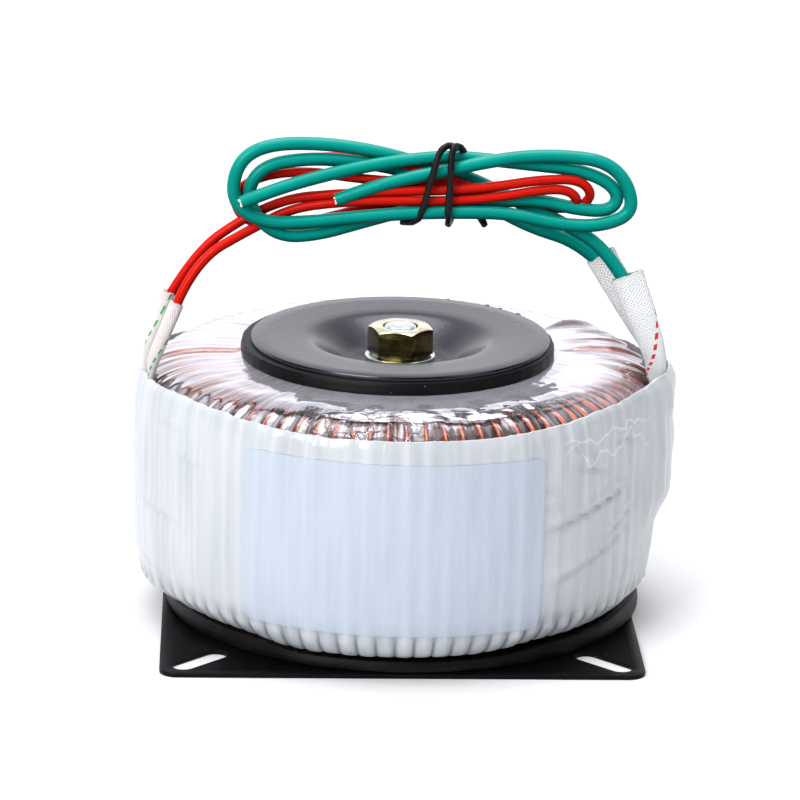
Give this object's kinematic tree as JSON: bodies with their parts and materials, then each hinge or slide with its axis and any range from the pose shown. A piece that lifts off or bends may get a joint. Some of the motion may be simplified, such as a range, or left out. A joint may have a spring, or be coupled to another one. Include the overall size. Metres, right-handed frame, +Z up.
{
  "type": "toroidal transformer",
  "caption": "Toroidal power transformer on a square black steel base plate, with red and green flying leads folded into a tied hank.",
  "frame": {"origin": "on the centre bolt's axis at the base plate's underside", "axes": "+Z up the bolt's axis; the rating label faces -Y; the red leads leave at -X and the green leads at +X"},
  "size_m": [0.1228, 0.1179, 0.1105],
  "materials": {
    "black_steel": "satin",
    "black_rubber": "matt",
    "core_steel": "satin",
    "insulation_tape": "matt",
    "copper": "gloss",
    "clear_film": "gloss",
    "white_tape": "gloss",
    "label_paper": "satin",
    "zinc_steel": "satin",
    "yellow_zinc": "gloss",
    "red_pvc": "gloss",
    "green_pvc": "gloss",
    "white_sleeving": "matt",
    "tie_plastic": "matt"
  },
  "bodies": {
    "root": {"base_plate": "black_steel", "lower_rubber_pad": "black_rubber", "toroid_core": "core_steel", "core_insulation": "insulation_tape", "primary_winding": "copper", "interlayer_insulation": "insulation_tape", "secondary_winding": "copper", "clear_film_wrap": "clear_film", "outer_white_band": "white_tape", "rating_label": "label_paper", "upper_rubber_pad": "black_rubber", "dished_washer": "black_steel", "flat_washer": "zinc_steel", "hex_nut": "yellow_zinc", "center_bolt": "zinc_steel", "lead_hank": "green_pvc", "twist_tie": "tie_plastic", "red_lead_sleeve_rear": "white_sleeving", "red_lead_rear": "red_pvc", "red_lead_sleeve_front": "white_sleeving", "red_lead_front": "red_pvc", "green_lead_sleeve_rear": "white_sleeving", "green_lead_rear": "green_pvc", "green_lead_sleeve_front": "white_sleeving", "green_lead_front": "green_pvc"}
  },
  "joints": []
}
